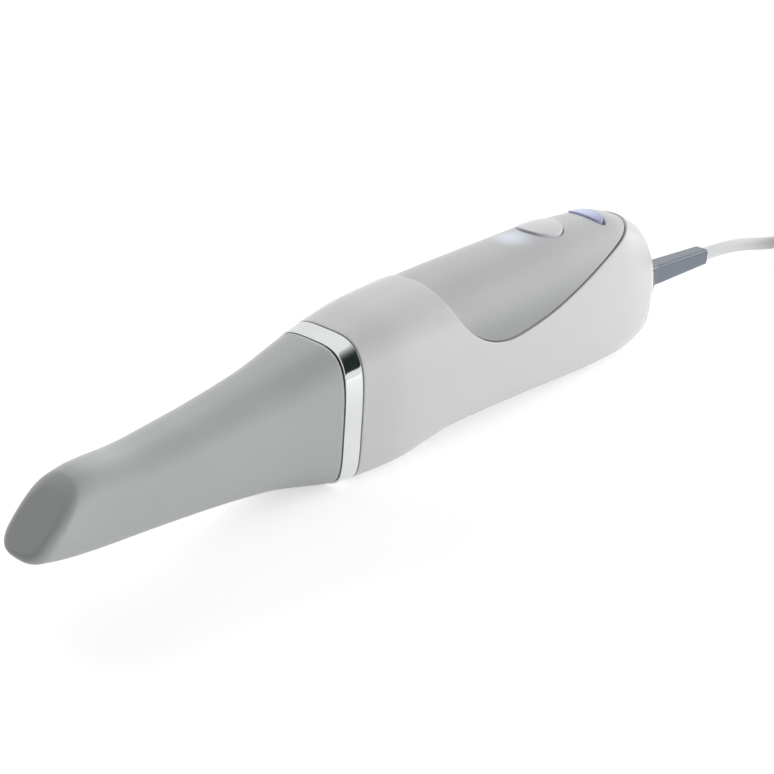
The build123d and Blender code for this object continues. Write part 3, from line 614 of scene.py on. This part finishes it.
def cable():
    """One spline from the boot to the plug. Its points carry the thickness, so that its box fits it."""
    curve = bpy.data.curves.new("cable", "CURVE")
    curve.dimensions = "3D"
    spline = curve.splines.new("NURBS")
    route = ROUTE + coil_points() + [round_coil(*place) for place in CROSSING] + TAIL
    spline.points.add(len(route) - 1)
    for point, place in zip(spline.points, route):
        point.co = (*(c*MM for c in place), 1.0)
        point.radius = CABLE_DIAMETER*MM/2
    spline.order_u = 3
    spline.use_endpoint_u = True
    spline.resolution_u = 6
    curve.bevel_depth = 1.0
    curve.bevel_resolution = 6
    curve.use_fill_caps = True
    piece = bpy.data.objects.new("cable", curve)
    bpy.context.scene.collection.objects.link(piece)
    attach(piece, "handpiece")
    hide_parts("cable_tube", "cable_coil", "cable_tail")
    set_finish(piece, "cable_white")
    return piece


# Materials
class Finish:
    """A material whose look is worked out from the place on the object."""

    def __init__(self, name, color, roughness, metallic=0.0):
        self.material = bpy.data.materials.new(name)
        self.material.use_nodes = True
        tree = self.material.node_tree
        self.nodes, self.links = tree.nodes, tree.links
        self.shader = self.nodes["Principled BSDF"]
        self.set("Base Color", (*color, 1.0))
        self.set("Roughness", roughness)
        self.set("Metallic", metallic)
        self.place = self.nodes.new("ShaderNodeTexCoord").outputs["Object"]

    def set(self, socket, value):
        self.shader.inputs[socket].default_value = value

    def noise(self, per_mm, detail=3.0):
        texture = self.nodes.new("ShaderNodeTexNoise")
        texture.inputs["Scale"].default_value = per_mm/MM
        texture.inputs["Detail"].default_value = detail
        self.links.new(self.place, texture.inputs["Vector"])
        return texture.outputs["Fac"]

    def spread(self, value, low, high):
        """The usual range of a noise stretched to lie between low and high."""
        mapped = self.nodes.new("ShaderNodeMapRange")
        mapped.inputs["From Min"].default_value = NOISE_LOW
        mapped.inputs["From Max"].default_value = NOISE_HIGH
        mapped.inputs["To Min"].default_value = low
        mapped.inputs["To Max"].default_value = high
        self.links.new(value, mapped.inputs["Value"])
        return mapped.outputs["Result"]

    def mottled(self, per_mm, dark, light):
        """Colour that drifts between two shades."""
        ramp = self.nodes.new("ShaderNodeMix")
        ramp.data_type = "RGBA"
        ramp.inputs["A"].default_value = (*dark, 1.0)
        ramp.inputs["B"].default_value = (*light, 1.0)
        self.links.new(self.spread(self.noise(per_mm), 0.0, 1.0), ramp.inputs["Factor"])
        self.color = ramp.outputs["Result"]
        self.links.new(self.color, self.shader.inputs["Base Color"])

    def fade(self, axis, start, end):
        """0 to 1 along one of the frame's axes, between two places in millimetres."""
        part = self.nodes.new("ShaderNodeSeparateXYZ")
        self.links.new(self.place, part.inputs["Vector"])
        mapped = self.nodes.new("ShaderNodeMapRange")
        mapped.interpolation_type = "SMOOTHSTEP"
        mapped.inputs["From Min"].default_value = start*MM
        mapped.inputs["From Max"].default_value = end*MM
        self.links.new(part.outputs[axis], mapped.inputs["Value"])
        return mapped.outputs["Result"]

    def paint_shade(self, share, color):
        """Lets the mottled colour run over into another one; here that paints shade into the colour."""
        mix = self.nodes.new("ShaderNodeMix")
        mix.data_type = "RGBA"
        mix.inputs["B"].default_value = (*color, 1.0)
        self.links.new(self.color, mix.inputs["A"])
        self.links.new(share, mix.inputs["Factor"])
        self.links.new(mix.outputs["Result"], self.shader.inputs["Base Color"])

    def glow(self, place, radius, color, strength):
        """Soft light from below the surface, round a place on the frame in millimetres."""
        away = self.nodes.new("ShaderNodeVectorMath")
        away.operation = "DISTANCE"
        self.links.new(self.place, away.inputs[0])
        away.inputs[1].default_value = [c*MM for c in place]
        near = self.nodes.new("ShaderNodeMapRange")
        near.interpolation_type = "SMOOTHERSTEP"
        near.inputs["From Max"].default_value = radius*MM
        near.inputs["To Min"].default_value = strength
        near.inputs["To Max"].default_value = 0.0
        self.links.new(away.outputs["Value"], near.inputs["Value"])
        self.links.new(near.outputs["Result"], self.shader.inputs["Emission Strength"])
        self.set("Emission Color", (*color, 1.0))

    def rough(self, per_mm, low, high):
        self.links.new(self.spread(self.noise(per_mm), low, high), self.shader.inputs["Roughness"])

    def grain(self, per_mm, height):
        """Fine relief, so many millimetres high."""
        bump = self.nodes.new("ShaderNodeBump")
        bump.inputs["Strength"].default_value = 1.0
        bump.inputs["Distance"].default_value = height*MM
        self.links.new(self.noise(per_mm, 4.0), bump.inputs["Height"])
        self.links.new(bump.outputs["Normal"], self.shader.inputs["Normal"])


def shades(color, drift):
    """A colour a little darker and a little lighter."""
    return tuple(c*(1 - drift) for c in color), tuple(min(1.0, c*(1 + drift)) for c in color)


def plastic(name, color, low, high):
    """Moulded plastic whose roughness drifts between low and high."""
    finish = Finish(name, color, (low + high)/2)
    finish.mottled(0.05, *shades(color, PLASTIC_DRIFT))
    finish.rough(0.25, low, high)
    finish.grain(2.5, PLASTIC_GRAIN)
    return finish


def metal(name, color, low, high):
    """Bare metal whose roughness drifts between low and high."""
    finish = Finish(name, color, (low + high)/2, metallic=1.0)
    finish.mottled(0.08, *shades(color, METAL_DRIFT))
    finish.rough(0.4, low, high)
    finish.grain(1.5, METAL_GRAIN)
    return finish


def cover_plastic(name, color, painted_shade_color):
    """Grey lacquer with painted shade, darker down the flanks where they turn away from the light, with
    the status light shining through.
    """
    finish = plastic(name, color, 0.34, 0.42)
    # Painted shade: the pale grey runs into the darker grey down the flanks
    finish.paint_shade(finish.fade("Z", COVER_PAINTED_SHADE_START, COVER_PAINTED_SHADE_FULL), painted_shade_color)
    finish.glow(GLOW_PLACE, radius=8.0, color=(0.62, 0.78, 1.0), strength=0.28)
    return finish


def lit_plastic(name, color, middle):
    """Lilac lens, lit from below around its middle."""
    finish = plastic(name, color, 0.12, 0.2)
    finish.glow(middle, radius=7.0, color=(0.62, 0.68, 1.0), strength=0.25)
    return finish


def glass(name, color):
    """Clear, polished glass."""
    finish = Finish(name, color, 0.03)
    finish.mottled(0.05, *shades(color, GLASS_DRIFT))
    finish.set("Transmission Weight", 1.0)
    finish.set("IOR", 1.5)
    return finish


# Places of the two lights below the surface
GLOW_PLACE = tuple(on_frame((75.2, 0.0, 49.8)))
BLUE_MIDDLE = tuple(on_frame((MODE_BUTTON[0], 0.0, 51.6)))
finishes = {
    "white_shell": plastic("white_shell", (0.83, 0.83, 0.83), 0.18, 0.25),
    # The cover's second, darker grey is painted shade for its lower flanks
    "grey_cover": cover_plastic("grey_cover", (0.66, 0.665, 0.675), (0.43, 0.44, 0.445)),
    "tip_grey": plastic("tip_grey", (0.585, 0.60, 0.605), 0.34, 0.42),
    "chrome": metal("chrome", (0.72, 0.745, 0.735), 0.05, 0.1),
    "button_white": plastic("button_white", (0.82, 0.82, 0.84), 0.2, 0.28),
    "button_blue": lit_plastic("button_blue", (0.45, 0.48, 0.68), BLUE_MIDDLE),
    "light_clear": plastic("light_clear", (0.8, 0.87, 0.95), 0.15, 0.2),
    "circuit_board": plastic("circuit_board", (0.04, 0.18, 0.09), 0.4, 0.5),
    "black_plastic": plastic("black_plastic", (0.03, 0.03, 0.033), 0.4, 0.55),
    "ivory_plastic": plastic("ivory_plastic", (0.72, 0.68, 0.58), 0.4, 0.5),
    "steel": metal("steel", (0.55, 0.55, 0.55), 0.25, 0.4),
    "aluminium": metal("aluminium", (0.62, 0.62, 0.64), 0.3, 0.42),
    "mirror": metal("mirror", (0.88, 0.88, 0.9), 0.02, 0.04),
    "glass": glass("glass", (0.9, 0.94, 0.95)),
    # The boot is rubber, but its dark gloss is made with a metallic finish here
    "boot_grey": metal("boot_grey", (0.18, 0.205, 0.235), 0.14, 0.22),
    "cable_white": plastic("cable_white", (0.88, 0.88, 0.885), 0.32, 0.4),
    "plug_white": plastic("plug_white", (0.75, 0.75, 0.74), 0.4, 0.5),
}


def dress(piece, slot):
    piece.data.materials.clear()
    piece.data.materials.append(finishes[slot].material)


for part in frame["record"]["subparts"]:
    dress(nodes[part["node"]], part["material_slot"])

lead = cable()
dress(lead, "cable_white")
for piece in (main_shell(), top_cover(), trim_ring(), tip_shell(),
              button_piece("white_button", SCAN_BUTTON, "scan_button", "button_white"),
              button_piece("blue_button", MODE_BUTTON, "mode_button", "button_blue")):
    dress(piece, piece["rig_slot"])


# Floor, background and light
def seen_by_eye(tree):
    """1 for what the camera sees, by itself or in a gloss or a glass."""
    path = tree.nodes.new("ShaderNodeLightPath")
    seen = path.outputs["Is Camera Ray"]
    for ray in ("Is Glossy Ray", "Is Transmission Ray"):
        most = tree.nodes.new("ShaderNodeMath")
        most.operation = "MAXIMUM"
        tree.links.new(seen, most.inputs[0])
        tree.links.new(path.outputs[ray], most.inputs[1])
        seen = most.outputs["Value"]
    return seen


def background(low, high):
    """White where the camera, a gloss or a glass sees it.
    For the rest a soft sky that is brighter towards the cable."""
    world = bpy.data.worlds.new("background")
    bpy.context.scene.world = world
    world.use_nodes = True
    tree = world.node_tree
    seen = seen_by_eye(tree)
    direction = tree.nodes.new("ShaderNodeSeparateXYZ")
    tree.links.new(tree.nodes.new("ShaderNodeTexCoord").outputs["Generated"], direction.inputs["Vector"])
    sky = tree.nodes.new("ShaderNodeMapRange")
    sky.inputs["From Min"].default_value = SKY_START
    sky.inputs["To Min"].default_value = low
    sky.inputs["To Max"].default_value = high
    tree.links.new(direction.outputs["X"], sky.inputs["Value"])
    level = tree.nodes.new("ShaderNodeMapRange")
    level.inputs["To Max"].default_value = 1.0
    tree.links.new(sky.outputs["Result"], level.inputs["To Min"])
    tree.links.new(seen, level.inputs["Value"])
    shader = tree.nodes["Background"]
    shader.inputs["Color"].default_value = (1, 1, 1, 1)
    tree.links.new(level.outputs["Result"], shader.inputs["Strength"])


def floor(lift):
    """A wide pale floor that keeps the shadow and is white where the light reaches it."""
    mesh = bpy.data.meshes.new("floor")
    corners = [(x*FLOOR_REACH, y*FLOOR_REACH, 0) for x, y in ((-1, -1), (1, -1), (1, 1), (-1, 1))]
    mesh.from_pydata(corners, [], [(0, 1, 2, 3)])
    piece = bpy.data.objects.new("floor", mesh)
    bpy.context.scene.collection.objects.link(piece)
    piece.location.z = -FLOOR_DROP
    material = bpy.data.materials.new("floor")
    material.use_nodes = True
    tree = material.node_tree
    shader = tree.nodes["Principled BSDF"]
    shader.inputs["Base Color"].default_value = (*FLOOR_SHADE, 1)
    shader.inputs["Roughness"].default_value = MATT
    shader.inputs["Specular IOR Level"].default_value = 0.1
    shader.inputs["Emission Color"].default_value = (1, 1, 1, 1)
    gain = tree.nodes.new("ShaderNodeMath")
    gain.operation = "MULTIPLY"
    gain.inputs[1].default_value = lift
    tree.links.new(seen_by_eye(tree), gain.inputs[0])
    tree.links.new(gain.outputs["Value"], shader.inputs["Emission Strength"])
    mesh.materials.append(material)


def dark_board(reach, middle, shade):
    """A curved board round the set, dark towards its middle and clear at its rim.
    Only reflections show it."""
    turns = np.radians(np.linspace(*BOARD_TURN, BOARD_STEPS))
    points = [(reach*cos(turn), reach*sin(turn), level*reach) for level in BOARD_LEVELS for turn in turns]
    count = len(turns)
    mesh = bpy.data.meshes.new("dark_board")
    mesh.from_pydata(points, [], [(k, k + 1, count + k + 1, count + k) for k in range(count - 1)])
    piece = bpy.data.objects.new("dark_board", mesh)
    bpy.context.scene.collection.objects.link(piece)
    for ray in ("camera", "diffuse", "transmission", "volume_scatter", "shadow"):
        setattr(piece, "visible_" + ray, False)
    material = bpy.data.materials.new("dark_board")
    material.use_nodes = True
    tree = material.node_tree
    shader = tree.nodes["Principled BSDF"]
    shader.inputs["Base Color"].default_value = (*shade, 1)
    shader.inputs["Roughness"].default_value = MATT
    unit = tree.nodes.new("ShaderNodeVectorMath")
    unit.operation = "NORMALIZE"
    tree.links.new(tree.nodes.new("ShaderNodeTexCoord").outputs["Object"], unit.inputs[0])
    near = tree.nodes.new("ShaderNodeVectorMath")
    near.operation = "DOT_PRODUCT"
    tree.links.new(unit.outputs["Vector"], near.inputs[0])
    near.inputs[1].default_value = Vector(middle).normalized()
    share = tree.nodes.new("ShaderNodeMapRange")
    share.interpolation_type = "SMOOTHSTEP"
    share.inputs["From Min"].default_value = BOARD_FADE[0]
    share.inputs["From Max"].default_value = BOARD_FADE[1]
    tree.links.new(near.outputs["Value"], share.inputs["Value"])
    mix = tree.nodes.new("ShaderNodeMixShader")
    tree.links.new(share.outputs["Result"], mix.inputs["Fac"])
    tree.links.new(tree.nodes.new("ShaderNodeBsdfTransparent").outputs["BSDF"], mix.inputs[1])
    tree.links.new(shader.outputs["BSDF"], mix.inputs[2])
    tree.links.new(mix.outputs["Shader"], tree.nodes["Material Output"].inputs["Surface"])
    mesh.materials.append(material)


def lamp(name, place, target, size, power, mirrored):
    """A rectangular lamp. Reflections show it only if it is mirrored."""
    light = bpy.data.lights.new(name, "AREA")
    light.shape = "RECTANGLE"
    light.size, light.size_y = size
    light.energy = power
    piece = bpy.data.objects.new(name, light)
    bpy.context.scene.collection.objects.link(piece)
    piece.location = place
    piece.rotation_euler = (Vector(target) - Vector(place)).to_track_quat("-Z", "Y").to_euler()
    piece.visible_glossy = mirrored


def camera():
    data = bpy.data.cameras.new("camera")
    data.sensor_width = SENSOR_WIDTH
    data.lens = CAMERA_LENS
    data.clip_start = NEAREST_SEEN
    piece = bpy.data.objects.new("camera", data)
    bpy.context.scene.collection.objects.link(piece)
    right, up = Vector(CAMERA_RIGHT).normalized(), Vector(CAMERA_UP).normalized()
    back = right.cross(up)
    turn = Matrix((right, up, back)).transposed().to_4x4()
    piece.matrix_world = Matrix.Translation(Vector(CAMERA_PLACE)*MM) @ turn
    bpy.context.scene.camera = piece


background(low=0.0, high=1.1)
floor(lift=0.54)
dark_board(reach=1.2, middle=(0.41, -0.83, 0.38), shade=(0.01, 0.022, 0.018))
lamp("rear", place=(0.9, -0.25, 0.3), target=(0.1, 0, 0.02), size=(0.5, 0.4), power=0.8, mirrored=True)
lamp("back", place=(0.3, 0.9, 0.5), target=(0, 0, 0.02), size=(0.8, 0.5), power=6.0, mirrored=False)
lamp("front", place=(0.5, -0.95, 0.3), target=(0, 0, 0.02), size=(0.8, 0.5), power=3.6, mirrored=False)
camera()

scene = bpy.context.scene
scene.view_settings.view_transform = "Standard"
